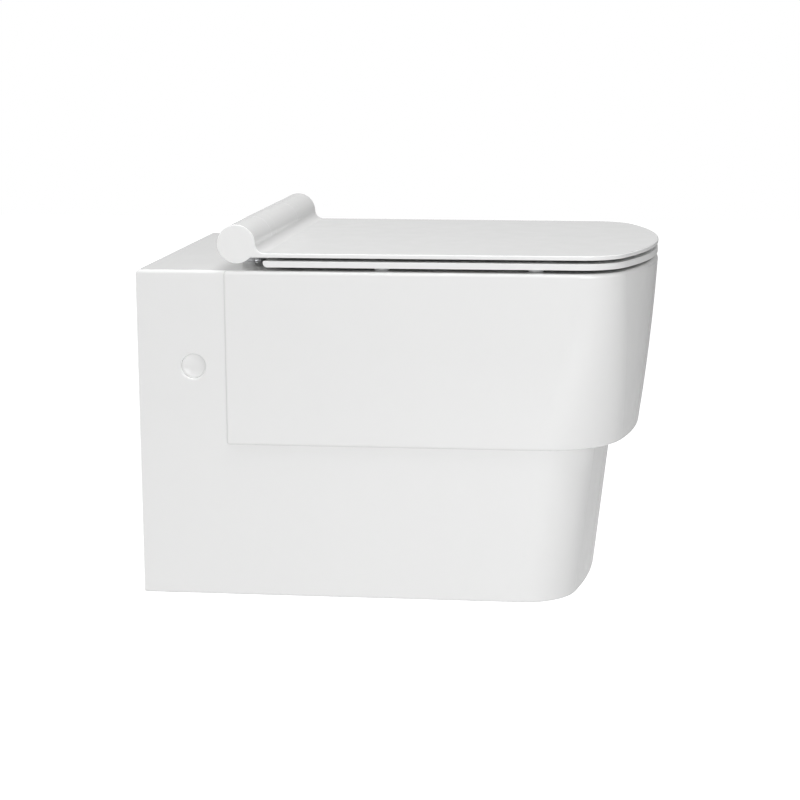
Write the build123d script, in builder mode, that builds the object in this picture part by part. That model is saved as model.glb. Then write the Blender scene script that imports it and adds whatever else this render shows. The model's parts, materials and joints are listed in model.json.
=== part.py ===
from build123d import *
import os
from math import acos, atan2, cos, degrees, radians, sin, sqrt, tan

# Wall hung toilet in millimetres, +Z up. The origin lies on the wall plane and the centre line,
# at the height of the two wall studs. The wall is behind the part at +Y and the front faces -Y.
# A "reach" is a distance out from the wall, a "height" is measured from the pan's underside.

# China pan, outside
pan_width = 360.0            # across the bowl box where it leaves the rear block
pan_height = 350.0           # underside to rim
rim_reach = 541.0            # wall to the front of the rim
belly_setback = 7.5          # front of the box at half height, behind the rim's front
box_foot_setback = 19.0      # front of the box's lower edge, behind the rim's front
box_drop = 185.0             # rim down to the box's lower edge
base_top_setback = 47.0      # front of the base under the box, behind the rim's front
base_foot_setback = 67.0     # front of the base at the underside, behind the rim's front
block_depth = 94.0           # wall to the step where the box begins
step = 3.0                   # the box stands proud of block and base
side_lean = 0.8              # degrees by which the sides close in towards the front
rim_corner = 50.0            # plan radii: corner and bowed front, at rim, box foot and base
rim_bow = 350.0
foot_corner = 88.0
foot_bow = 420.0
base_corner = 58.0
base_bow = 600.0
top_round = 4.0              # glazed upper edges
edge_round = 3.0             # glazed lower edges
step_round = 2.6             # upright edges where the box steps out of the block
rim_inner_round = 5.0        # inner edge of the rim's top
china = 9.0                  # wall thickness
deck = 13.0                  # thickness of the rim's top

# Bowl, rim opening and trapway
rim_front_width = 46.0       # rim width in front of the opening
rim_side_width = 58.0        # rim width beside the opening
opening_rear_reach = 181.0   # wall to the rear edge of the opening
lip_depth = 38.0             # the rim's inner lip hangs this far below the top
lip_thick = 8.0
undercut = 20.0              # hidden flush channel between lip and bowl wall, front and rear
side_undercut = 20.0         # the same at the sides
sump_reach = 290.0           # centre of the sump
sump_height = 32.0           # floor of the sump
sump_half_length = 40.0
sump_half_width = 36.0
trap_bore = 34.0             # radius
trap_wall = 8.0
trap_bend = 45.0             # radius of the trapway's centre line
rise_reach = 200.0           # where the trapway turns up towards the weir
rise_height = 70.0
weir_height = 187.0          # centre of the trapway at the weir
weir_front_reach = 145.0
weir_rear_reach = 98.0
drop_reach = 64.0            # where the falling leg turns to the outlet
trap_end_rise = 8.0          # trapway's end above the outlet's centre

# Services and wall fixing
stud_height = 248.0          # studs above the underside
stud_spacing = 180.0
outlet_drop = 100.0          # outlet centre below the studs
inlet_drop = 67.0            # flush inlet centre below the rim
service_recess = 12.0        # spigot and horn end this far inside the wall plane
spigot_radius = 51.0
spigot_length = 40.0
spigot_wall = 9.0
horn_bore = 27.5             # radius
horn_wall = 9.0
web_half_width = 66.0        # cross web that ties spigot and horn to the shell
chamber_half_width = 34.0    # flush chamber behind the bowl
chamber_reach = 100.0
chamber_drop = 25.0          # chamber floor below the inlet's centre
fix_reach = 59.0             # side holes, at stud height
fix_hole = 13.0              # radius
fix_hole_round = 1.8
fix_boss = 22.0              # radius
fix_boss_length = 18.0       # inwards from the inner face of the wall
shell_overlap = 26.0         # block and box run into each other by this much

# Lid, seat ring and hinge axis
hinge_reach = 108.0          # wall to the hinge axis
hinge_rise = 28.0            # axis above the rim
roll_radius = 20.2
seat_gap = 4.0               # rim to seat ring
seat_thick = 6.5
lid_gap = 3.5                # seat ring to lid
lid_thick = 4.5
lid_top_fillet = 10.0        # roll into lid plate, above
lid_under_fillet = 4.0       # the same, below
lid_edge_round = 1.2
seat_inset = 0.6             # ring edge inside the rim edge
seat_rear_reach = 136.0
seat_rear_round = 4.5
seat_inner_round = 2.5       # inner edge of the ring's top
seat_side_width = 66.0       # ring width beside its opening
seat_front_width = 58.0
seat_opening_rear = 191.0    # wall to the rear edge of the ring's opening
drip_depth = 6.0             # drip edge below the ring, inside the rim opening
drip_thick = 4.0

# Hinges
post_spacing = 155.0         # seat holes in the china
post_width = 30.0
post_depth = 24.0            # neck, front to back
seam = 0.3                   # gap between post heads and roll
ear_width = 12.0
ear_hub_radius = 12.0
ear_web_rear = 2.0           # ear's web in front of the axis, rear and front faces
ear_web_front = 11.0
pocket_clearance = 0.6       # ear hub inside the roll
slot_clearance = 3.0         # degrees, before and after the ear in its slot under the roll
lid_travel = 100.0           # degrees the lid opens above the ring
pin_radius = 4.0
pin_grip = 10.0              # pin length held in the post
journal_length = 14.0
running = 0.06               # radial running clearance
snug = 0.05                  # radial clearance of pieces that don't turn
bush_wall = 2.5
damper_radius = 10.5
damper_length = 18.0
damper_flat = 3.0            # axis to the shaft's flat
damper_socket = 8.0          # depth of the shaft's socket in the damper

# Seat fixings through the china
disc_radius = 21.0
disc_thick = 3.0
stub_radius = 6.0
stub_height = 11.0
stud_radius = 4.0            # threaded shank of the mounting pin
seat_hole = 8.0              # radius, in the china
bush_length = 42.0
bush_nut_height = 9.0
shank_spare = 4.0            # shank showing under the nut

# Wall brackets and side fixings
bracket_thick = 4.0
bracket_height = 44.0
bracket_inner = 64.0         # plate's inner edge from the centre line
bracket_arm_reach = 84.0
bracket_corner = 6.0
bracket_hole = 6.5           # radius, for the wall stud
weld_nut_width = 13.0
weld_nut_height = 6.5
side_screw_radius = 4.0
side_head_radius = 6.5
side_head_height = 8.0
side_key = 3.0               # half the hex socket's width across flats
side_key_floor = 3.0         # left under the socket
side_screw_spare = 3.0       # shank showing past the weld nut
sleeve_floor = 8.0           # nylon under the screw head
cap_thick = 4.0
cap_recess = 5.0             # cap below the china's outer face
cap_dish = 2.5
cap_rim = 1.5                # flat rim around the dish
washer_radius = 12.0
washer_thick = 2.5
stud_nut_radius = 10.4       # across corners
stud_nut_bore = 6.0
stud_nut_height = 10.0
seal_wall = 5.0
seal_length = 30.0
seal_lip = 3.0

# Buffers
buffer_radius = 8.0
buffer_stem_radius = 3.0
buffer_stem = 3.0
buffer_round = 1.0
buffer_clear = 0.2           # buffers stop this far above what they land on
buffer_inset = 18.0          # centre in from the ring's side
seat_buffer_reaches = (258.0, 418.0)
lid_buffer_inset = 44.0
lid_buffer_reaches = (240.0, 430.0)

# Overshoot of cuts, and slack where edges are picked by their place
spare = 1.0
slack = 0.1                  # the same in height

# Derived planes
side_slope = tan(radians(side_lean))
half_width = pan_width / 2
base_half = half_width - step
underside_z = -stud_height
rim_z = pan_height - stud_height
belly_reach = rim_reach - belly_setback
box_foot_reach = rim_reach - box_foot_setback
base_top_reach = rim_reach - base_top_setback
base_foot_reach = rim_reach - base_foot_setback
box_foot_z = rim_z - box_drop
hinge_y = -hinge_reach
hinge_z = rim_z + hinge_rise
seat_low_z = rim_z + seat_gap
seat_high_z = seat_low_z + seat_thick
lid_low_z = seat_high_z + lid_gap
lid_high_z = lid_low_z + lid_thick
disc_top_z = rim_z + disc_thick
outlet_z = -outlet_drop
inlet_z = rim_z - inlet_drop
floor_top_z = underside_z + china
deck_low_z = rim_z - deck
post_inner = (post_spacing - post_width) / 2
post_outer = post_inner + post_width
ear_inner = post_outer + seam
ear_outer = ear_inner + ear_width
journal_inner = ear_outer + seam
journal_outer = journal_inner + journal_length
china_face = base_half - (fix_reach - block_depth) * side_slope
boss_inner = china_face - china - fix_boss_length

os.makedirs("parts", exist_ok=True)


def side_x(half, reach):
    return half - (reach - block_depth) * side_slope


# Plan outline shared by pan, ring and lid: leaning straight sides, corner arcs, a bowed front
def plan_face(half, rear, front, corner, bow):
    pole = front - bow
    span = bow - corner
    offset = side_x(half, pole) - corner * sqrt(1 + side_slope**2)
    square = 1 + side_slope**2
    rise = (side_slope * offset + sqrt(square * span**2 - offset**2)) / square
    center_x = offset - side_slope * rise
    center_reach = pole + rise
    lean = radians(side_lean)
    turn = atan2(rise, center_x)
    mid = (lean + turn) / 2
    foot_x = center_x + corner * cos(lean)
    foot_y = -(center_reach + corner * sin(lean))
    mid_x = center_x + corner * cos(mid)
    mid_y = -(center_reach + corner * sin(mid))
    tip_x = bow * center_x / span
    tip_y = -(pole + bow * rise / span)
    rear_x = side_x(half, rear)
    with BuildLine() as outline:
        Polyline((-foot_x, foot_y), (-rear_x, -rear), (rear_x, -rear), (foot_x, foot_y))
        ThreePointArc((foot_x, foot_y), (mid_x, mid_y), (tip_x, tip_y))
        ThreePointArc((tip_x, tip_y), (0, -front), (-tip_x, tip_y))
        ThreePointArc((-tip_x, tip_y), (-mid_x, mid_y), (-foot_x, foot_y))
    make_face(outline.edges())


# Opening of rim or ring: straight sides and half round ends, from its front edge backwards
def slot_face(half, front, length, grow=0.0):
    with Locations((0, -(front - length / 2))):
        SlotOverall(length + 2 * grow, 2 * (half + grow), rotation=90)


# Edges of such an opening in the flat face at one height
def slot_edges(piece, level_z, half, front, length):
    edges = piece.edges().filter_by_position(Axis.Z, level_z - slack, level_z + slack)
    edges = edges.filter_by_position(Axis.X, -half - spare, half + spare)
    return edges.filter_by_position(Axis.Y, -front - spare, length - front + spare)


# A round bar along X between two places, on the hinge axis unless told otherwise
def bar(x_from, x_to, radius, y=hinge_y, z=hinge_z, mode=Mode.ADD):
    low = min(x_from, x_to)
    with BuildSketch(Plane.YZ.offset(low)) as section:
        with Locations((y, z)):
            Circle(radius)
    extrude(section.sketch, amount=abs(x_to - x_from), mode=mode)


# The same with one flat, for the damper shafts and what they drive
def flatted_bar(x_from, x_to, radius, flat, mode=Mode.ADD):
    low = min(x_from, x_to)
    with BuildSketch(Plane.YZ.offset(low)) as section:
        with Locations((hinge_y, hinge_z)):
            Circle(radius)
        with Locations((hinge_y, hinge_z - radius + (radius + flat) / 2)):
            Rectangle(2 * radius, radius + flat, mode=Mode.INTERSECT)
    extrude(section.sketch, amount=abs(x_to - x_from), mode=mode)


def save(piece, label):
    piece.part.label = label
    export_step(piece.part, "parts/" + label + ".step")


# Bowl box, rim down to the step
def box_loft(inset, floor_z, top_z, rear):
    levels = (
        (floor_z, box_foot_reach, foot_corner, foot_bow),
        ((box_foot_z + rim_z) / 2, belly_reach, (foot_corner + rim_corner) / 2,
         (foot_bow + rim_bow) / 2),
        (top_z, rim_reach, rim_corner, rim_bow),
    )
    sections = []
    for level_z, reach, corner, bow in levels:
        with BuildSketch(Plane.XY.offset(level_z)) as section:
            plan_face(half_width - inset, rear, reach - inset, corner - inset, bow - inset)
        sections.append(section.sketch)
    loft(sections)


# Base below the box
def base_loft(inset, floor_z, top_z, rear):
    sections = []
    for share in (0, 0.5, 1):
        reach = base_foot_reach + share * (base_top_reach - base_foot_reach) - inset
        with BuildSketch(Plane.XY.offset(floor_z + share * (top_z - floor_z))) as section:
            plan_face(base_half - inset, rear, reach, base_corner - inset, base_bow - inset)
        sections.append(section.sketch)
    loft(sections)


# Rear block beside and behind the box
def block_body(inset, floor_z, top_z, rear, front):
    near = side_x(base_half - inset, rear)
    far = side_x(base_half - inset, front)
    with BuildSketch(Plane.XY.offset(floor_z)) as section:
        Polygon((-near, -rear), (near, -rear), (far, -front), (-far, -front), align=None)
    extrude(section.sketch, amount=top_z - floor_z)


with BuildPart() as pan_box:
    box_loft(0, box_foot_z, rim_z, block_depth)
    fillet(pan_box.edges().group_by(Axis.Y)[-1].sort_by(SortBy.LENGTH)[:2], step_round)
    fillet(pan_box.faces().sort_by(Axis.Z)[0].edges(), edge_round)
    fillet(pan_box.faces().sort_by(Axis.Z)[-1].edges(), top_round)

with BuildPart() as pan_base:
    base_loft(0, underside_z, box_foot_z + china, 0)
    fillet(pan_base.faces().sort_by(Axis.Z)[0].edges(), edge_round)

with BuildPart() as pan_block:
    block_body(0, box_foot_z, rim_z, 0, block_depth + shell_overlap)
    fillet(pan_block.faces().sort_by(Axis.Z)[-1].edges(), top_round)

with BuildPart() as box_hollow:
    box_loft(china, box_foot_z + china, deck_low_z, block_depth - shell_overlap)

with BuildPart() as base_hollow:
    base_loft(china, floor_top_z, box_foot_z + 2 * china, -spare)

with BuildPart() as block_hollow:
    block_body(china, box_foot_z, deck_low_z, -spare, block_depth + shell_overlap)

# Bowl stations: height above the underside, and share of the way from sump to rim oval
opening_front = rim_reach - rim_front_width
opening_half = half_width - rim_side_width
opening_length = opening_front - opening_rear_reach
opening_center = (opening_front + opening_rear_reach) / 2
rim_half_length = opening_length / 2 + undercut
rim_half_width = opening_half + side_undercut
bowl_top = pan_height - deck
bowl_shares = ((0.0, 0.0), (0.09, 0.05), (0.19, 0.14), (0.32, 0.34), (0.49, 0.62),
               (0.67, 0.87), (0.85, 0.98), (1.0, 1.0))


def bowl_loft(wall):
    sections = []
    for rise, share in bowl_shares:
        height = sump_height + rise * (bowl_top - sump_height)
        if rise == 0:
            height -= wall
        center = sump_reach + share * (opening_center - sump_reach)
        half_length = sump_half_length + share * (rim_half_length - sump_half_length)
        half_wide = sump_half_width + share * (rim_half_width - sump_half_width)
        with BuildSketch(Plane.XY.offset(underside_z + height)) as section:
            with Locations((0, -center)):
                Ellipse(half_wide + wall, half_length + wall)
        sections.append(section.sketch)
    loft(sections)


with BuildPart() as bowl_shell:
    bowl_loft(china)

with BuildPart() as bowl_hollow:
    bowl_loft(0)

weir_z = underside_z + weir_height
web_reach = service_recess + spigot_length


# Trapway: out of the sump, up over the weir and back down to the outlet
def trap_tube(radius):
    with BuildLine(Plane.YZ) as route:
        FilletPolyline(
            (-sump_reach, underside_z + sump_height + trap_bore),
            (-rise_reach, underside_z + rise_height),
            (-weir_front_reach, weir_z),
            (-weir_rear_reach, weir_z),
            (-drop_reach, outlet_z + trap_end_rise),
            (-service_recess, outlet_z + trap_end_rise),
            radius=trap_bend,
        )
    with BuildSketch(Plane(origin=route.line @ 0, z_dir=route.line % 0)) as section:
        Circle(radius)
    sweep(section.sketch, path=route.line)


with BuildPart() as trap_shell:
    trap_tube(trap_bore + trap_wall)
    split(bisect_by=Plane.XZ.offset(web_reach))

with BuildPart() as trap_hollow:
    trap_tube(trap_bore)


# Round bar straight out from the wall, for spigot and horn
def service_bar(center_z, radius, length, mode=Mode.ADD):
    with BuildSketch(Plane.XZ.offset(service_recess)) as section:
        with Locations((0, center_z)):
            Circle(radius)
    extrude(section.sketch, amount=length, mode=mode)


# Outer china: shell, rim with its inner lip, and bosses behind the side holes
with BuildPart() as pan:
    add(pan_base.part)
    add(pan_block.part)
    add(pan_box.part)
    add(box_hollow.part, mode=Mode.SUBTRACT)
    add(base_hollow.part, mode=Mode.SUBTRACT)
    add(block_hollow.part, mode=Mode.SUBTRACT)
    for side in (-1, 1):
        bar(side * boss_inner, side * (china_face - china / 2), fix_boss, -fix_reach, 0)
    with BuildSketch(Plane.XY.offset(rim_z - lip_depth)):
        slot_face(opening_half, opening_front, opening_length, lip_thick)
    extrude(amount=lip_depth - deck / 2)
    with BuildSketch(Plane.XY.offset(rim_z - lip_depth)):
        slot_face(opening_half, opening_front, opening_length)
    extrude(amount=lip_depth, mode=Mode.SUBTRACT)
    for side in (-1, 1):
        bar(side * boss_inner, side * half_width, fix_hole, -fix_reach, 0, Mode.SUBTRACT)
    with BuildSketch(Plane.XY.offset(deck_low_z)):
        with Locations((-post_spacing / 2, hinge_y), (post_spacing / 2, hinge_y)):
            Circle(seat_hole)
    extrude(amount=deck, mode=Mode.SUBTRACT)
    fillet(slot_edges(pan, rim_z, opening_half, opening_front, opening_length), rim_inner_round)
    near_hole = fix_hole + spare
    for side in (-1, 1):
        mouth = pan.edges().filter_by_position(
            Axis.X, side * china_face - spare, side * china_face + spare
        )
        mouth = mouth.filter_by_position(Axis.Y, -fix_reach - near_hole, near_hole - fix_reach)
        fillet(mouth.filter_by_position(Axis.Z, -near_hole, near_hole), fix_hole_round)
save(pan, "pan")

# Inner china: bowl and trapway, spigot and horn on the cross web, flush chamber
chamber_low_z = inlet_z - chamber_drop
bowl_rear = opening_center - rim_half_length
with BuildPart() as inner_china:
    add(bowl_shell.part)
    add(trap_shell.part)
    service_bar(outlet_z, spigot_radius, spigot_length)
    service_bar(inlet_z, horn_bore + horn_wall, chamber_reach - service_recess)
    with BuildSketch(Plane.XZ.offset(web_reach)):
        with Locations((0, (floor_top_z + deck_low_z) / 2)):
            Rectangle(2 * web_half_width, deck_low_z - floor_top_z)
    extrude(amount=china)
    with BuildSketch(Plane.XY.offset(chamber_low_z - china)):
        with Locations((0, -(chamber_reach + bowl_rear) / 2)):
            Rectangle(2 * (chamber_half_width + china), bowl_rear - chamber_reach + 2 * china)
    extrude(amount=deck_low_z - chamber_low_z + china)
    add(bowl_hollow.part, mode=Mode.SUBTRACT)
    add(trap_hollow.part, mode=Mode.SUBTRACT)
    service_bar(outlet_z, spigot_radius - spigot_wall, spigot_length / 2, Mode.SUBTRACT)
    service_bar(inlet_z, horn_bore, chamber_reach - service_recess + spare, Mode.SUBTRACT)
    with BuildSketch(Plane.XY.offset(chamber_low_z)):
        with Locations((0, -(chamber_reach + bowl_rear - china) / 2)):
            Rectangle(2 * chamber_half_width, bowl_rear - china - chamber_reach)
    extrude(amount=deck_low_z - chamber_low_z, mode=Mode.SUBTRACT)
    with BuildSketch(Plane.XY.offset(rim_z - lip_depth)):
        with Locations((0, -bowl_rear)):
            Rectangle(2 * chamber_half_width, 3 * china)
    extrude(amount=lip_depth - deck, mode=Mode.SUBTRACT)

# The inner china is cut behind the bowl, and between trapway and horn
cut_reach = bowl_rear - china
cut_z = (weir_z + trap_bore + trap_wall + inlet_z - horn_bore - horn_wall) / 2
with BuildPart() as bowl:
    add(inner_china.part)
    split(bisect_by=Plane.XZ.offset(cut_reach))
save(bowl, "bowl")

with BuildPart() as trapway:
    add(inner_china.part)
    split(bisect_by=Plane.XZ.offset(cut_reach), keep=Keep.BOTTOM)
    split(bisect_by=Plane.XY.offset(cut_z), keep=Keep.BOTTOM)
save(trapway, "trapway")

with BuildPart() as inlet_horn:
    add(inner_china.part)
    split(bisect_by=Plane.XZ.offset(cut_reach), keep=Keep.BOTTOM)
    split(bisect_by=Plane.XY.offset(cut_z))
save(inlet_horn, "inlet_horn")


# Four places near the corners of ring or lid
def buffer_places(half, inset, reaches):
    return [
        (side * (side_x(half, reach) - inset), -reach)
        for reach in reaches
        for side in (-1, 1)
    ]


def buffer_pads(half, inset, reaches, top_z, height):
    for low_z, radius, amount in (
        (top_z - height, buffer_radius, height),
        (top_z, buffer_stem_radius, buffer_stem),
    ):
        with BuildSketch(Plane.XY.offset(low_z)) as section:
            with Locations(buffer_places(half, inset, reaches)):
                Circle(radius)
        extrude(section.sketch, amount=amount)


def stem_holes(half, inset, reaches, low_z):
    with BuildSketch(Plane.XY.offset(low_z)) as section:
        with Locations(buffer_places(half, inset, reaches)):
            Circle(buffer_stem_radius + snug)
    extrude(section.sketch, amount=buffer_stem + snug, mode=Mode.SUBTRACT)


# Seat ring with its two hinge ears
ring_half = half_width - seat_inset
ring_front = rim_reach - seat_inset
ring_opening_half = half_width - seat_side_width
ring_opening_front = rim_reach - seat_front_width
ring_opening_length = ring_opening_front - seat_opening_rear
with BuildPart() as seat_ring:
    with BuildSketch(Plane.XY.offset(seat_low_z)):
        plan_face(
            ring_half,
            seat_rear_reach,
            ring_front,
            rim_corner - seat_inset,
            rim_bow - seat_inset,
        )
    extrude(amount=seat_thick)
    fillet(seat_ring.faces().sort_by(Axis.Z)[0].edges().sort_by(Axis.Y)[-1], seat_rear_round)
    fillet(seat_ring.faces().sort_by(Axis.Z)[-1].edges(), lid_edge_round)
    with BuildSketch(Plane.XY.offset(seat_low_z - drip_depth)):
        slot_face(ring_opening_half, ring_opening_front, ring_opening_length, drip_thick)
    extrude(amount=drip_depth + seat_thick / 2)
    with BuildSketch(Plane.XY.offset(seat_low_z - drip_depth)):
        slot_face(ring_opening_half, ring_opening_front, ring_opening_length)
    extrude(amount=drip_depth + seat_thick, mode=Mode.SUBTRACT)
    opening = slot_edges(
        seat_ring,
        seat_high_z,
        ring_opening_half,
        ring_opening_front,
        ring_opening_length,
    )
    fillet(opening, seat_inner_round)
    for side in (-1, 1):
        bar(side * ear_inner, side * ear_outer, ear_hub_radius)
        with BuildSketch(Plane.YZ.offset(min(side * ear_inner, side * ear_outer))):
            with BuildLine():
                Polyline(
                    (hinge_y - ear_web_rear, hinge_z),
                    (hinge_y - ear_web_front, hinge_z),
                    (hinge_y - ear_web_front, seat_high_z),
                    (-(seat_rear_reach + seat_rear_round), seat_high_z),
                    (-(seat_rear_reach + seat_rear_round), seat_low_z),
                    (hinge_y - ear_web_rear, seat_low_z),
                    close=True,
                )
            make_face()
        extrude(amount=ear_width)
    bar(-ear_inner, -ear_outer, pin_radius + running, mode=Mode.SUBTRACT)
    flatted_bar(ear_inner, ear_outer, pin_radius + snug, damper_flat + snug, mode=Mode.SUBTRACT)
    stem_holes(ring_half, buffer_inset, seat_buffer_reaches, seat_low_z)
save(seat_ring, "seat_ring")

# Ears of the ring turn in pockets of the roll, and their webs in slots under it
pocket_radius = ear_hub_radius + pocket_clearance
slot_radius = roll_radius + seam
slot_first = degrees(acos(ear_web_front / pocket_radius)) - slot_clearance
slot_last = degrees(acos(ear_web_rear / slot_radius)) + lid_travel + slot_clearance
middle_journal = post_inner - journal_length

# Lid: side profile of roll and plate, cut to the plan outline
with BuildPart() as lid:
    with BuildSketch(Plane.YZ) as profile:
        with Locations((hinge_y, hinge_z)):
            Circle(roll_radius)
        with Locations(((hinge_y - rim_reach) / 2, (lid_low_z + lid_high_z) / 2)):
            Rectangle(rim_reach - hinge_reach, lid_thick)
        corners = profile.vertices().filter_by_position(Axis.X, hinge_y - roll_radius, hinge_y)
        fillet(corners.sort_by(Axis.Y)[-1], lid_top_fillet)
        corners = profile.vertices().filter_by_position(Axis.X, hinge_y - roll_radius, hinge_y)
        fillet(corners.sort_by(Axis.Y)[0], lid_under_fillet)
    extrude(amount=half_width + step, both=True)
    with BuildSketch(Plane.XY.offset(hinge_z - roll_radius)):
        plan_face(half_width, hinge_reach - roll_radius, rim_reach, rim_corner, rim_bow)
    extrude(amount=2 * roll_radius, mode=Mode.INTERSECT)
    round_edges = lid.edges().filter_by(Axis.X, reverse=True).filter_by(Axis.Z, reverse=True)
    fillet(round_edges, lid_edge_round)
    # post heads with their seams, and pockets and slots for the ears
    for side in (-1, 1):
        bar(side * (post_inner - seam), side * ear_inner, slot_radius, mode=Mode.SUBTRACT)
        bar(side * post_outer, side * journal_inner, pocket_radius, mode=Mode.SUBTRACT)
        with BuildSketch(Plane.YZ.offset(min(side * post_outer, side * journal_inner))):
            with BuildLine():
                slot_arc = CenterArc(
                    (hinge_y, hinge_z),
                    slot_radius,
                    180 + slot_first,
                    slot_last - slot_first,
                )
                Line((hinge_y, hinge_z), slot_arc @ 0)
                Line((hinge_y, hinge_z), slot_arc @ 1)
            make_face()
        extrude(amount=journal_inner - post_outer, mode=Mode.SUBTRACT)
    # bearings of the roll and the socket of the lid damper's shaft
    bush_bore = pin_radius + bush_wall + snug
    bar(-journal_inner, -journal_outer, bush_bore, mode=Mode.SUBTRACT)
    bar(journal_inner, journal_outer, bush_bore, mode=Mode.SUBTRACT)
    bar(post_inner, middle_journal, bush_bore, mode=Mode.SUBTRACT)
    flatted_bar(-post_inner, -middle_journal, pin_radius + snug, damper_flat + snug, Mode.SUBTRACT)
    stem_holes(half_width, lid_buffer_inset, lid_buffer_reaches, lid_low_z)
save(lid, "lid")

with BuildPart() as seat_buffers:
    buffer_pads(ring_half, buffer_inset, seat_buffer_reaches, seat_low_z, seat_gap - buffer_clear)
    fillet(seat_buffers.faces().sort_by(Axis.Z)[:4].edges(), buffer_round)
save(seat_buffers, "seat_buffers")

with BuildPart() as lid_buffers:
    buffer_pads(half_width, lid_buffer_inset, lid_buffer_reaches, lid_low_z, lid_gap - buffer_clear)
    fillet(lid_buffers.faces().sort_by(Axis.Z)[:4].edges(), buffer_round)
save(lid_buffers, "lid_buffers")


# Hinge post with a damper pocket opening on one face and a pin hole on the other
def hinge_post(side, damper_face, damper_end, pin_face, pin_end):
    bar(side * post_inner, side * post_outer, roll_radius)
    with BuildSketch(Plane.XY.offset(disc_top_z)) as neck:
        with Locations((side * post_spacing / 2, hinge_y)):
            Rectangle(post_width, post_depth)
    extrude(neck.sketch, amount=hinge_rise - disc_thick)
    with BuildSketch(Plane.XY.offset(disc_top_z)) as stub_hole:
        with Locations((side * post_spacing / 2, hinge_y)):
            Circle(stub_radius + snug)
    extrude(stub_hole.sketch, amount=stub_height + snug, mode=Mode.SUBTRACT)
    bar(side * damper_face, side * damper_end, damper_radius + snug, mode=Mode.SUBTRACT)
    bar(side * pin_face, side * pin_end, pin_radius + snug, mode=Mode.SUBTRACT)


# Left post holds the lid's damper on its inner side
left_damper_end = post_inner + damper_length
left_pin_end = post_outer - pin_grip
with BuildPart() as hinge_post_left:
    hinge_post(-1, post_inner, left_damper_end, post_outer, left_pin_end)
save(hinge_post_left, "hinge_post_left")

# Right post holds the seat's damper on its outer side
right_damper_end = post_outer - damper_length
right_pin_end = post_inner + pin_grip
with BuildPart() as hinge_post_right:
    hinge_post(1, post_outer, right_damper_end, post_inner, right_pin_end)
save(hinge_post_right, "hinge_post_right")

# Plain pins: left one runs outwards through the ear, right one inwards into the roll's middle
with BuildPart() as hinge_pin_left:
    bar(-(left_pin_end + snug), -(journal_outer - snug), pin_radius)
save(hinge_pin_left, "hinge_pin_left")

with BuildPart() as hinge_pin_right:
    bar(right_pin_end - snug, middle_journal + snug, pin_radius)
save(hinge_pin_right, "hinge_pin_right")

# Dampers, each with a round socket for its shaft
with BuildPart() as lid_damper:
    bar(-post_inner, -(left_damper_end - snug), damper_radius)
    bar(-post_inner, -(post_inner + damper_socket), pin_radius + running, mode=Mode.SUBTRACT)
save(lid_damper, "lid_damper")

with BuildPart() as lid_damper_shaft:
    bar(-(post_inner + damper_socket - snug), -post_inner, pin_radius)
    flatted_bar(-post_inner, -(middle_journal + snug), pin_radius, damper_flat)
save(lid_damper_shaft, "lid_damper_shaft")

with BuildPart() as seat_damper:
    bar(post_outer, right_damper_end + snug, damper_radius)
    bar(post_outer, post_outer - damper_socket, pin_radius + running, mode=Mode.SUBTRACT)
save(seat_damper, "seat_damper")

with BuildPart() as seat_damper_shaft:
    bar(post_outer - damper_socket + snug, ear_inner, pin_radius)
    flatted_bar(ear_inner, ear_outer, pin_radius, damper_flat)
    bar(ear_outer, journal_outer - snug, pin_radius)
save(seat_damper_shaft, "seat_damper_shaft")

with BuildPart() as lid_bushes:
    for x_from, x_to in (
        (-journal_inner, -journal_outer),
        (journal_inner, journal_outer),
        (post_inner - seam, middle_journal),
    ):
        bar(x_from, x_to, pin_radius + bush_wall)
        bar(x_from, x_to, pin_radius + running, mode=Mode.SUBTRACT)
save(lid_bushes, "lid_bushes")


# Turned piece on each seat hole's axis
def seat_stack(low_z, radius, height, mode=Mode.ADD):
    with BuildSketch(Plane.XY.offset(low_z)) as section:
        with Locations((-post_spacing / 2, hinge_y), (post_spacing / 2, hinge_y)):
            Circle(radius)
    extrude(section.sketch, amount=height, mode=mode)


bush_low_z = rim_z - bush_length
shank_low_z = bush_low_z - bush_nut_height - shank_spare

with BuildPart() as mounting_discs:
    seat_stack(rim_z, disc_radius, disc_thick)
    seat_stack(rim_z, stud_radius + snug, disc_thick, Mode.SUBTRACT)
save(mounting_discs, "mounting_discs")

with BuildPart() as mounting_pins:
    seat_stack(disc_top_z, stub_radius, stub_height)
    seat_stack(shank_low_z, stud_radius, disc_top_z - shank_low_z)
save(mounting_pins, "mounting_pins")

with BuildPart() as mounting_bushes:
    seat_stack(bush_low_z, seat_hole - snug, bush_length)
    seat_stack(bush_low_z, stud_radius + snug, bush_length, Mode.SUBTRACT)
save(mounting_bushes, "mounting_bushes")

with BuildPart() as bush_nuts:
    seat_stack(bush_low_z - bush_nut_height, seat_hole - snug, bush_nut_height)
    seat_stack(bush_low_z - bush_nut_height, stud_radius + snug, bush_nut_height, Mode.SUBTRACT)
save(bush_nuts, "bush_nuts")

# Planes of the side fixings, from the bracket's arm outwards
arm_inner = boss_inner - bracket_thick
head_inner = boss_inner + sleeve_floor
cap_outer = china_face - cap_recess
cap_inner = cap_outer - cap_thick


# Pair of pieces along the axes of the side holes
def side_pair(x_from, x_to, radius, mode=Mode.ADD):
    for side in (-1, 1):
        bar(side * x_from, side * x_to, radius, -fix_reach, 0, mode)


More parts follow.
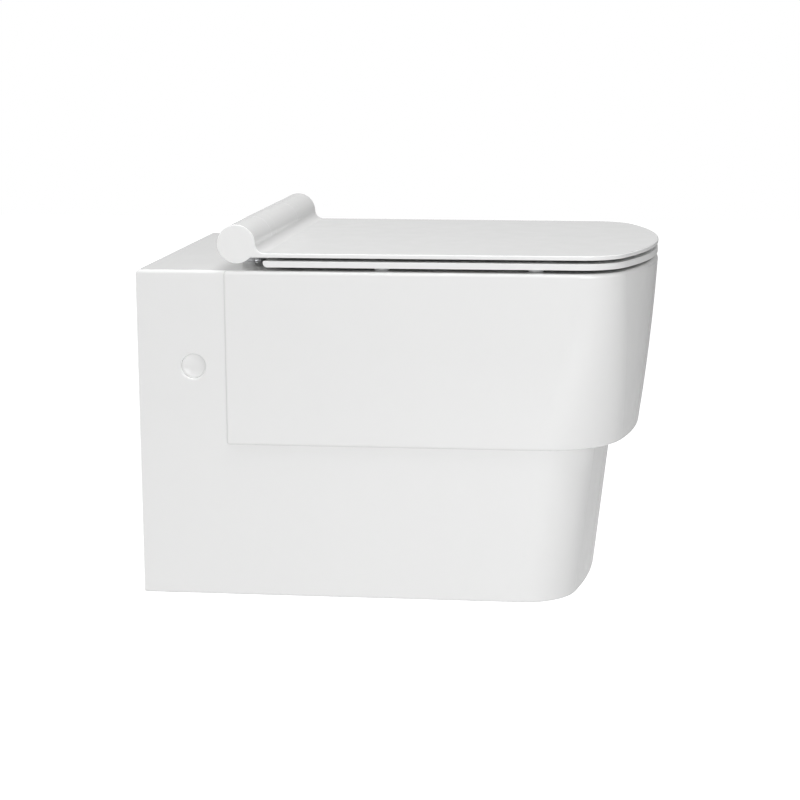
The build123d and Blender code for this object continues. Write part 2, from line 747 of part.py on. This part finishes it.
# Angle bracket: plate on the wall stud, arm forward along the boss of the side hole
def wall_bracket(side):
    with BuildSketch(Plane.XZ) as plate:
        with Locations((side * (bracket_inner + boss_inner) / 2, 0)):
            Rectangle(boss_inner - bracket_inner, bracket_height)
        with Locations((side * stud_spacing / 2, 0)):
            Circle(bracket_hole, mode=Mode.SUBTRACT)
    extrude(plate.sketch, amount=bracket_thick)
    with BuildSketch(Plane.YZ.offset(min(side * arm_inner, side * boss_inner))) as arm:
        with Locations((-bracket_arm_reach / 2, 0)):
            Rectangle(bracket_arm_reach, bracket_height)
        fillet(arm.vertices().sort_by(Axis.Y)[:2], bracket_corner)
        with Locations((-fix_reach, 0)):
            Circle(side_screw_radius + snug, mode=Mode.SUBTRACT)
    extrude(arm.sketch, amount=bracket_thick)


with BuildPart() as wall_bracket_left:
    wall_bracket(-1)
save(wall_bracket_left, "wall_bracket_left")

with BuildPart() as wall_bracket_right:
    wall_bracket(1)
save(wall_bracket_right, "wall_bracket_right")

nut_inner = arm_inner - weld_nut_height
with BuildPart() as weld_nuts:
    for side in (-1, 1):
        with BuildSketch(Plane.YZ.offset(min(side * arm_inner, side * nut_inner))):
            with Locations((-fix_reach, 0)):
                Rectangle(weld_nut_width, weld_nut_width)
        extrude(amount=weld_nut_height)
    side_pair(arm_inner, nut_inner, side_screw_radius + snug, Mode.SUBTRACT)
save(weld_nuts, "weld_nuts")

with BuildPart() as side_sleeves:
    side_pair(boss_inner, cap_inner, fix_hole - snug)
    side_pair(boss_inner, head_inner, side_screw_radius + snug, Mode.SUBTRACT)
    side_pair(head_inner, cap_inner, side_head_radius + snug, Mode.SUBTRACT)
save(side_sleeves, "side_sleeves")

head_outer = head_inner + side_head_height
with BuildPart() as side_screws:
    side_pair(nut_inner - side_screw_spare, head_inner, side_screw_radius)
    side_pair(head_inner, head_outer, side_head_radius)
    for side in (-1, 1):
        key_floor = side * (head_inner + side_key_floor)
        with BuildSketch(Plane.YZ.offset(min(key_floor, side * head_outer))):
            with Locations((-fix_reach, 0)):
                RegularPolygon(side_key, 6, major_radius=False)
        extrude(amount=side_head_height - side_key_floor, mode=Mode.SUBTRACT)
save(side_screws, "side_screws")

# Caps with a shallow dish turned outwards
cap_radius = fix_hole - snug
dish_half = cap_radius - cap_rim
with BuildPart() as side_caps:
    for side in (-1, 1):
        with BuildSketch(Plane.XZ.offset(fix_reach)):
            with BuildLine():
                dish = ThreePointArc(
                    (side * (cap_outer - cap_dish), 0),
                    (side * (cap_outer - 0.75 * cap_dish), dish_half / 2),
                    (side * cap_outer, dish_half),
                )
                Polyline(
                    dish @ 1,
                    (side * cap_outer, cap_radius),
                    (side * cap_inner, cap_radius),
                    (side * cap_inner, 0),
                    dish @ 0,
                )
            make_face()
        revolve(axis=Axis((0, -fix_reach, 0), (1, 0, 0)))
save(side_caps, "side_caps")


# Pair of pieces along the wall studs, from one reach to another
def stud_pair(reach, radius, length, mode=Mode.ADD):
    with BuildSketch(Plane.XZ.offset(reach)) as section:
        with Locations((-stud_spacing / 2, 0), (stud_spacing / 2, 0)):
            Circle(radius)
    extrude(section.sketch, amount=length, mode=mode)


with BuildPart() as stud_washers:
    stud_pair(bracket_thick, washer_radius, washer_thick)
    stud_pair(bracket_thick, bracket_hole, washer_thick, Mode.SUBTRACT)
save(stud_washers, "stud_washers")

nut_reach = bracket_thick + washer_thick
with BuildPart() as stud_nuts:
    with BuildSketch(Plane.XZ.offset(nut_reach)):
        with Locations((-stud_spacing / 2, 0), (stud_spacing / 2, 0)):
            RegularPolygon(stud_nut_radius, 6)
    extrude(amount=stud_nut_height)
    stud_pair(nut_reach, stud_nut_bore, stud_nut_height, Mode.SUBTRACT)
save(stud_nuts, "stud_nuts")

# Rubber seal pushed into the flush horn, with a lip over the horn's end
with BuildPart() as inlet_seal:
    with BuildSketch(Plane.XZ.offset(service_recess)):
        with Locations((0, inlet_z)):
            Circle(horn_bore - snug)
    extrude(amount=seal_length)
    with BuildSketch(Plane.XZ.offset(service_recess - seal_lip)):
        with Locations((0, inlet_z)):
            Circle(horn_bore + seal_wall)
    extrude(amount=seal_lip)
    with BuildSketch(Plane.XZ.offset(service_recess - seal_lip)):
        with Locations((0, inlet_z)):
            Circle(horn_bore - seal_wall)
    extrude(amount=seal_length + seal_lip, mode=Mode.SUBTRACT)
save(inlet_seal, "inlet_seal")
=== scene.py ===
import json
import math
import bmesh
import bpy
from mathutils import Matrix, Vector


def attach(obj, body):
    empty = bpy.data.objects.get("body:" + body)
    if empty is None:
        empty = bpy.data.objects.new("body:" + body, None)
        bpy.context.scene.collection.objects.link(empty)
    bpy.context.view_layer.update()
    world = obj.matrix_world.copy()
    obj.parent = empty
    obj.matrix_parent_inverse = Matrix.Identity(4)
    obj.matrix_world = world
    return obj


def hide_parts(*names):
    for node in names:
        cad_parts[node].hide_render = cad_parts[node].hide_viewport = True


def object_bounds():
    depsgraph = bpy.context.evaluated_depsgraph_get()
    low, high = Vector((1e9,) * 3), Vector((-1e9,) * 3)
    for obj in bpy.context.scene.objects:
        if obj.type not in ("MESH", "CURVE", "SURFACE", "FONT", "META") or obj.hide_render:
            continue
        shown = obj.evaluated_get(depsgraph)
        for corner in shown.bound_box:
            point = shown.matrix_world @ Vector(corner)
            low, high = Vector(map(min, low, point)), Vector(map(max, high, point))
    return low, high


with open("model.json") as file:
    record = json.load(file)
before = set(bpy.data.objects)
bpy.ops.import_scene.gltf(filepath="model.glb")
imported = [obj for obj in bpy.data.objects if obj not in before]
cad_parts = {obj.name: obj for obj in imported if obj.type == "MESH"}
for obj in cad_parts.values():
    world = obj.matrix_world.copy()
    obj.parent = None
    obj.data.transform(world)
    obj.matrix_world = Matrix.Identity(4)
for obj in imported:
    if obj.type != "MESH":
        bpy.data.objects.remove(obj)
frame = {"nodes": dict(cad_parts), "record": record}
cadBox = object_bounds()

scene = bpy.context.scene
nodes = frame["nodes"]
print("frame loaded:", len(nodes), "nodes")

cameraLook = {
    "target": (0.0, -0.25446, -0.06598),
    "azimuth": 7.78,      # degrees from the left side towards the front
    "elevation": 10.93,
    "roll": -0.3,
    "distance": 2.318,
    "lens": 92.295,
    "sensor": 36.0,
    "clip": (0.05, 60.0),
}


def makeCamera(look):
    turn, lift, roll = (math.radians(look[key]) for key in ("azimuth", "elevation", "roll"))
    back = Vector((-math.cos(turn) * math.cos(lift), -math.sin(turn) * math.cos(lift),
                   math.sin(lift)))
    side = Vector((0, 0, 1)).cross(back).normalized()
    above = back.cross(side)
    right = side * math.cos(roll) + above * math.sin(roll)
    up = above * math.cos(roll) - side * math.sin(roll)
    data = bpy.data.cameras.new("photoCamera")
    data.lens = look["lens"]
    data.sensor_width = look["sensor"]
    data.clip_start, data.clip_end = look["clip"]
    camera = bpy.data.objects.new("photoCamera", data)
    scene.collection.objects.link(camera)
    axes = Matrix((right, up, back)).transposed().to_4x4()
    place = Vector(look["target"]) + back * look["distance"]
    camera.matrix_world = Matrix.Translation(place) @ axes
    scene.camera = camera


makeCamera(cameraLook)
scene.view_settings.view_transform = "Standard"

# pale floor, surroundings that are white for the camera, soft lamps
stageLook = {
    "floorDrop": 0.34,               # floor below the pan's underside
    "floorSize": 14.0,
    "floorColor": (0.86, 0.86, 0.86, 1),
    "floorRoughness": 0.8,
    "floorSpecular": 0.1,
    "floorWhite": 0.80,              # white that only the camera sees on the floor
    "worldSpan": (-0.9, 0.4),        # heading along Y where the surroundings brighten
    "worldLow": 0.05,                # surroundings towards the front of the pan
    "worldHigh": 0.56,               # and towards the wall side
    "lampAim": (0, -0.27, -0.05),
    "lamps": {
        "keyLamp": {"place": (-2.6, -1.27, 1.0), "size": (1.8, 1.8), "power": 28.5},
        "topLamp": {"place": (-0.3, -0.35, 2.6), "size": (1.6, 1.6), "power": 43.0},
        "sparkLamp": {"place": (-2.0, -2.2, 2.0), "size": (0.25, 0.25), "power": 2.0},
    },
}


def makeFloor(look, lowest):
    half, level = look["floorSize"] / 2, lowest - look["floorDrop"]
    mesh = bpy.data.meshes.new("studioFloor")
    corners = [(-half, -half, level), (half, -half, level), (half, half, level), (-half, half, level)]
    mesh.from_pydata(corners, [], [(0, 1, 2, 3)])
    floor = bpy.data.objects.new("studioFloor", mesh)
    scene.collection.objects.link(floor)
    material = bpy.data.materials.new("paleFloor")
    material.use_nodes = True
    tree = material.node_tree
    shader = tree.nodes["Principled BSDF"]
    shader.inputs["Base Color"].default_value = look["floorColor"]
    shader.inputs["Roughness"].default_value = look["floorRoughness"]
    shader.inputs["Specular IOR Level"].default_value = look["floorSpecular"]
    glow = tree.nodes.new("ShaderNodeEmission")
    path = tree.nodes.new("ShaderNodeLightPath")
    strength = tree.nodes.new("ShaderNodeMath")
    strength.operation = "MULTIPLY"
    strength.inputs[1].default_value = look["floorWhite"]
    tree.links.new(path.outputs["Is Camera Ray"], strength.inputs[0])
    tree.links.new(strength.outputs[0], glow.inputs["Strength"])
    both = tree.nodes.new("ShaderNodeAddShader")
    tree.links.new(shader.outputs[0], both.inputs[0])
    tree.links.new(glow.outputs[0], both.inputs[1])
    tree.links.new(both.outputs[0], tree.nodes["Material Output"].inputs["Surface"])
    mesh.materials.append(material)


def makeWorld(look):
    world = bpy.data.worlds.new("softSurroundings")
    world.use_nodes = True
    tree = world.node_tree
    background = tree.nodes["Background"]
    background.inputs["Color"].default_value = (1, 1, 1, 1)
    place = tree.nodes.new("ShaderNodeTexCoord")
    parts = tree.nodes.new("ShaderNodeSeparateXYZ")
    tree.links.new(place.outputs["Generated"], parts.inputs[0])
    ramp = tree.nodes.new("ShaderNodeMapRange")
    ramp.interpolation_type = "SMOOTHSTEP"
    low, high = look["worldSpan"]
    ramp.inputs["From Min"].default_value = low
    ramp.inputs["From Max"].default_value = high
    ramp.inputs["To Min"].default_value = look["worldLow"]
    ramp.inputs["To Max"].default_value = look["worldHigh"]
    tree.links.new(parts.outputs["Y"], ramp.inputs["Value"])
    path = tree.nodes.new("ShaderNodeLightPath")
    white = tree.nodes.new("ShaderNodeMath")
    white.operation = "MAXIMUM"
    tree.links.new(ramp.outputs[0], white.inputs[0])
    tree.links.new(path.outputs["Is Camera Ray"], white.inputs[1])
    tree.links.new(white.outputs[0], background.inputs["Strength"])
    scene.world = world


def makeLamp(name, lamp, aim):
    data = bpy.data.lights.new(name, "AREA")
    data.shape = "RECTANGLE"
    data.size, data.size_y = lamp["size"]
    data.energy = lamp["power"]
    light = bpy.data.objects.new(name, data)
    scene.collection.objects.link(light)
    facing = (Vector(lamp["place"]) - aim).normalized().to_track_quat("Z", "Y")
    light.matrix_world = Matrix.Translation(lamp["place"]) @ facing.to_matrix().to_4x4()


makeFloor(stageLook, cadBox[0].z)
makeWorld(stageLook)
for lampName, lampLook in stageLook["lamps"].items():
    makeLamp(lampName, lampLook, Vector(stageLook["lampAim"]))
print("stage ready")

# each finish has two close tones in soft patches, its own gloss variation and a fine relief
finishLook = {
    "glazedChina": {
        "tones": ((0.945, 0.945, 0.94, 1), (0.925, 0.927, 0.925, 1)), "patch": 5.0,
        "gloss": (0.05, 0.10), "glossPatch": 14.0, "relief": 22.0, "reliefHeight": 0.00012,
        "coat": 0.5, "coatRoughness": 0.03,
    },
    "seatPlastic": {
        "tones": ((0.955, 0.955, 0.95, 1), (0.94, 0.942, 0.94, 1)), "patch": 9.0,
        "gloss": (0.13, 0.15), "glossPatch": 40.0, "relief": 700.0, "reliefHeight": 0.000003,
        "coat": 0.2, "coatRoughness": 0.08,
    },
    "paleRubber": {
        "tones": ((0.80, 0.81, 0.81, 1), (0.72, 0.73, 0.73, 1)), "patch": 160.0,
        "gloss": (0.42, 0.58), "glossPatch": 300.0, "relief": 900.0, "reliefHeight": 0.00002,
    },
    "darkHousing": {
        "tones": ((0.05, 0.05, 0.055, 1), (0.035, 0.035, 0.04, 1)), "patch": 90.0,
        "gloss": (0.38, 0.52), "glossPatch": 260.0, "relief": 1500.0, "reliefHeight": 0.00002,
    },
    "naturalNylon": {
        "tones": ((0.84, 0.83, 0.77, 1), (0.78, 0.77, 0.70, 1)), "patch": 70.0,
        "gloss": (0.33, 0.45), "glossPatch": 200.0, "relief": 600.0, "reliefHeight": 0.00002,
    },
    "turnedSteel": {
        "tones": ((0.60, 0.60, 0.61, 1), (0.52, 0.52, 0.54, 1)), "patch": 120.0,
        "gloss": (0.20, 0.34), "glossPatch": 420.0, "relief": 900.0, "reliefHeight": 0.000012,
        "stretch": (14.0, 1.0, 1.0), "metal": 1.0,
    },
    "zincPlate": {
        "tones": ((0.63, 0.64, 0.66, 1), (0.50, 0.52, 0.55, 1)), "patch": 85.0,
        "gloss": (0.24, 0.42), "glossPatch": 180.0, "relief": 500.0, "reliefHeight": 0.00002,
        "metal": 1.0,
    },
    "discChrome": {
        "tones": ((0.78, 0.79, 0.81, 1), (0.74, 0.75, 0.77, 1)), "patch": 60.0,
        "gloss": (0.04, 0.08), "glossPatch": 90.0, "relief": 60.0, "reliefHeight": 0.00002,
        "metal": 1.0,
    },
    "blackRubber": {
        "tones": ((0.035, 0.035, 0.037, 1), (0.022, 0.022, 0.024, 1)), "patch": 110.0,
        "gloss": (0.55, 0.75), "glossPatch": 320.0, "relief": 1100.0, "reliefHeight": 0.00004,
    },
}
slotFinish = {
    "china": "glazedChina", "seat_plastic": "seatPlastic", "buffer_rubber": "paleRubber",
    "damper_plastic": "darkHousing", "nylon": "naturalNylon", "pin_steel": "turnedSteel",
    "disc_chrome": "discChrome", "zinc_steel": "zincPlate", "seal_rubber": "blackRubber",
}
noiseLook = {
    "patch": {"detail": 3.0, "seed": 1.5},
    "glossPatch": {"detail": 2.0, "seed": 4.2},
    "relief": {"detail": 1.0, "seed": 7.7},
}
glossSpan = (0.3, 0.7)      # part of the noise that the gloss range is spread over


def addNoise(tree, source, look, use):
    noise = tree.nodes.new("ShaderNodeTexNoise")
    noise.noise_dimensions = "4D"
    noise.inputs["Scale"].default_value = look[use]
    noise.inputs["Detail"].default_value = noiseLook[use]["detail"]
    noise.inputs["W"].default_value = noiseLook[use]["seed"]
    tree.links.new(source, noise.inputs["Vector"])
    return noise.outputs["Fac"]


def makeFinish(name, look):
    material = bpy.data.materials.new(name)
    material.use_nodes = True
    tree = material.node_tree
    shader = tree.nodes["Principled BSDF"]
    place = tree.nodes.new("ShaderNodeTexCoord")
    mapping = tree.nodes.new("ShaderNodeMapping")
    mapping.inputs["Scale"].default_value = look.get("stretch", (1.0, 1.0, 1.0))
    tree.links.new(place.outputs["Object"], mapping.inputs["Vector"])
    source = mapping.outputs[0]
    tones = tree.nodes.new("ShaderNodeMix")
    tones.data_type = "RGBA"
    tones.inputs["A"].default_value, tones.inputs["B"].default_value = look["tones"]
    tree.links.new(addNoise(tree, source, look, "patch"), tones.inputs["Factor"])
    tree.links.new(tones.outputs["Result"], shader.inputs["Base Color"])
    gloss = tree.nodes.new("ShaderNodeMapRange")
    gloss.inputs["From Min"].default_value, gloss.inputs["From Max"].default_value = glossSpan
    gloss.inputs["To Min"].default_value, gloss.inputs["To Max"].default_value = look["gloss"]
    tree.links.new(addNoise(tree, source, look, "glossPatch"), gloss.inputs["Value"])
    tree.links.new(gloss.outputs[0], shader.inputs["Roughness"])
    relief = tree.nodes.new("ShaderNodeBump")
    relief.inputs["Strength"].default_value = 1.0
    relief.inputs["Distance"].default_value = look["reliefHeight"]
    tree.links.new(addNoise(tree, source, look, "relief"), relief.inputs["Height"])
    tree.links.new(relief.outputs[0], shader.inputs["Normal"])
    shader.inputs["Metallic"].default_value = look.get("metal", 0.0)
    shader.inputs["Coat Weight"].default_value = look.get("coat", 0.0)
    shader.inputs["Coat Roughness"].default_value = look.get("coatRoughness", 0.03)
    return material


finishes = {name: makeFinish(name, look) for name, look in finishLook.items()}
nodeSlot = {part["node"]: part["material_slot"] for part in frame["record"]["subparts"]}
nodeFinish = {name: finishes[slotFinish[slot]] for name, slot in nodeSlot.items()}
for nodeName, node in nodes.items():
    node.data.materials.clear()
    node.data.materials.append(nodeFinish[nodeName])
print("finishes on the carried-over nodes:", len(nodes))

edgeSteps = 4               # segments in each rounded edge of a ring
sharpAngle = 32             # degrees
mergeDistance = 1e-7
perMetre = 1000


# sweeps a rounded profile round a circle, stacks it in rows and sets the stack on every place
def makeRingTree():
    tree = bpy.data.node_groups.new("turnedRings", "GeometryNodeTree")
    sockets = (("Places", "Geometry"), ("Inner Radius", "Float"), ("Outer Radius", "Float"),
               ("Height", "Float"), ("Edge Round", "Float"), ("Pitch", "Float"), ("Sides", "Int"),
               ("Rows", "Int"), ("Finish", "Material"))
    for label, kind in sockets:
        tree.interface.new_socket(label, in_out="INPUT", socket_type="NodeSocket" + kind)
    tree.interface.new_socket("Pieces", in_out="OUTPUT", socket_type="NodeSocketGeometry")

    def compute(operation, first, second):
        made = tree.nodes.new("ShaderNodeMath")
        made.operation = operation
        for socket, value in zip(made.inputs, (first, second)):
            if isinstance(value, float):
                socket.default_value = value
            else:
                tree.links.new(value, socket)
        return made.outputs[0]

    sizes = tree.nodes.new("NodeGroupInput").outputs
    width = compute("SUBTRACT", sizes["Outer Radius"], sizes["Inner Radius"])
    middle = compute("MULTIPLY", compute("ADD", sizes["Outer Radius"], sizes["Inner Radius"]), 0.5)
    profile = tree.nodes.new("GeometryNodeCurvePrimitiveQuadrilateral")
    tree.links.new(width, profile.inputs["Width"])
    tree.links.new(sizes["Height"], profile.inputs["Height"])
    rounding = tree.nodes.new("GeometryNodeFilletCurve")
    rounding.mode = "POLY"
    rounding.inputs["Count"].default_value = edgeSteps
    tree.links.new(profile.outputs[0], rounding.inputs["Curve"])
    tree.links.new(sizes["Edge Round"], rounding.inputs["Radius"])
    circle = tree.nodes.new("GeometryNodeCurvePrimitiveCircle")
    tree.links.new(sizes["Sides"], circle.inputs["Resolution"])
    tree.links.new(middle, circle.inputs["Radius"])
    upright = tree.nodes.new("GeometryNodeSetCurveNormal")
    upright.mode = "Z_UP"
    tree.links.new(circle.outputs[0], upright.inputs["Curve"])
    swept = tree.nodes.new("GeometryNodeCurveToMesh")
    tree.links.new(upright.outputs[0], swept.inputs["Curve"])
    tree.links.new(rounding.outputs[0], swept.inputs["Profile Curve"])
    line = tree.nodes.new("GeometryNodeMeshLine")
    step = tree.nodes.new("ShaderNodeCombineXYZ")
    tree.links.new(sizes["Pitch"], step.inputs["Z"])
    tree.links.new(step.outputs[0], line.inputs["Offset"])
    tree.links.new(sizes["Rows"], line.inputs["Count"])
    rows = tree.nodes.new("GeometryNodeInstanceOnPoints")
    tree.links.new(line.outputs[0], rows.inputs["Points"])
    tree.links.new(swept.outputs[0], rows.inputs["Instance"])
    stack = tree.nodes.new("GeometryNodeRealizeInstances")
    tree.links.new(rows.outputs[0], stack.inputs[0])
    spread = tree.nodes.new("GeometryNodeInstanceOnPoints")
    tree.links.new(sizes["Places"], spread.inputs["Points"])
    tree.links.new(stack.outputs[0], spread.inputs["Instance"])
    real = tree.nodes.new("GeometryNodeRealizeInstances")
    tree.links.new(spread.outputs[0], real.inputs[0])
    finish = tree.nodes.new("GeometryNodeSetMaterial")
    tree.links.new(real.outputs[0], finish.inputs["Geometry"])
    tree.links.new(sizes["Finish"], finish.inputs["Material"])
    tree.links.new(finish.outputs[0], tree.nodes.new("NodeGroupOutput").inputs[0])
    return tree


ringTree = makeRingTree()
axisTurn = {"Z": Matrix.Identity(3), "Y": Matrix.Rotation(math.radians(-90), 3, "X")}


# the mesh of one ring row, set on all the places of its piece
def sweepRing(ring, places, turn, finish):
    inner, outer, low, high, rounding, sides, rows, pitch = ring
    lift = Vector((0, 0, (low + high) / 2 / perMetre))
    mesh = bpy.data.meshes.new("places")
    mesh.from_pydata([turn.inverted() @ Vector(place) + lift for place in places], [], [])
    holder = bpy.data.objects.new("places", mesh)
    scene.collection.objects.link(holder)
    modifier = holder.modifiers.new("rings", "NODES")
    modifier.node_group = ringTree
    values = {
        "Inner Radius": inner / perMetre, "Outer Radius": outer / perMetre,
        "Height": (high - low) / perMetre, "Edge Round": rounding / perMetre,
        "Pitch": pitch / perMetre, "Sides": sides, "Rows": rows, "Finish": finish,
    }
    for item in ringTree.interface.items_tree:
        if item.in_out == "INPUT" and item.name in values:
            modifier[item.identifier] = values[item.name]
    seen = holder.evaluated_get(bpy.context.evaluated_depsgraph_get())
    made = bpy.data.meshes.new_from_object(seen)
    bpy.data.objects.remove(holder)
    bpy.data.meshes.remove(mesh)
    made.transform(turn.to_4x4())
    return made


def makePiece(name, look):
    turn, finish = axisTurn[look["axis"]], nodeFinish[look["node"]]
    whole = bmesh.new()
    for ring in look["rings"]:
        part = sweepRing(ring, look["places"], turn, finish)
        whole.from_mesh(part)
        bpy.data.meshes.remove(part)
    bmesh.ops.remove_doubles(whole, verts=whole.verts, dist=mergeDistance)
    bmesh.ops.recalc_face_normals(whole, faces=whole.faces)
    mesh = bpy.data.meshes.new(name)
    whole.to_mesh(mesh)
    whole.free()
    mesh.materials.append(finish)
    mesh.shade_smooth()
    mesh.set_sharp_from_angle(angle=math.radians(sharpAngle))
    piece = bpy.data.objects.new(name, mesh)
    scene.collection.objects.link(piece)
    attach(piece, look["body"])
    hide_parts(look["node"])


seatAxisX, seatAxisY, rimZ = 0.0775, -0.108, 0.102
seatPlaces = [(-seatAxisX, seatAxisY, rimZ), (seatAxisX, seatAxisY, rimZ)]
studPlaces = [(-0.09, 0, 0), (0.09, 0, 0)]
inletPlaces = [(0, 0, 0.035)]
# each ring in millimetres: inner and outer radius, low and high end along the axis, edge round,
# then its sides, rows and the pitch of the rows
pieceLook = {
    "seatFixingDiscs": {
        "node": "mounting_discs", "body": "pan", "axis": "Z", "places": seatPlaces,
        "rings": [(4.05, 20.98, 0.0, 1.9, 0.6, 72, 1, 0), (4.05, 18.6, 1.2, 3.0, 0.75, 72, 1, 0)],
    },
    "seatFixingBushes": {
        "node": "mounting_bushes", "body": "pan", "axis": "Z", "places": seatPlaces,
        "rings": [(4.05, 7.3, -42.0, 0.0, 0.4, 40, 1, 0),
                  (6.6, 7.95, -40.6, -38.2, 0.5, 40, 11, 3.6)],
    },
    "bushNuts": {
        "node": "bush_nuts", "body": "pan", "axis": "Z", "places": seatPlaces,
        "rings": [(4.05, 7.95, -51.0, -44.5, 0.5, 6, 1, 0),
                  (4.05, 7.95, -45.0, -42.0, 0.4, 40, 1, 0)],
    },
    "studWashers": {
        "node": "stud_washers", "body": "pan", "axis": "Y", "places": studPlaces,
        "rings": [(6.5, 12.0, -6.5, -4.0, 0.3, 56, 1, 0)],
    },
    "studNuts": {
        "node": "stud_nuts", "body": "pan", "axis": "Y", "places": studPlaces,
        "rings": [(6.9, 10.4, -16.5, -6.5, 0.9, 6, 1, 0),
                  (6.5, 7.3, -16.2, -15.2, 0.25, 40, 6, 1.6)],
    },
    "inletSeal": {
        "node": "inlet_seal", "body": "pan", "axis": "Y", "places": inletPlaces,
        "rings": [(22.5, 27.4, -42.0, -11.0, 0.8, 96, 1, 0),
                  (22.5, 32.5, -12.0, -9.0, 1.2, 96, 1, 0),
                  (26.2, 27.45, -39.0, -36.6, 0.9, 96, 6, 4.6)],
    },
}
for pieceName, look in pieceLook.items():
    makePiece(pieceName, look)
print("turned pieces made:", len(pieceLook))
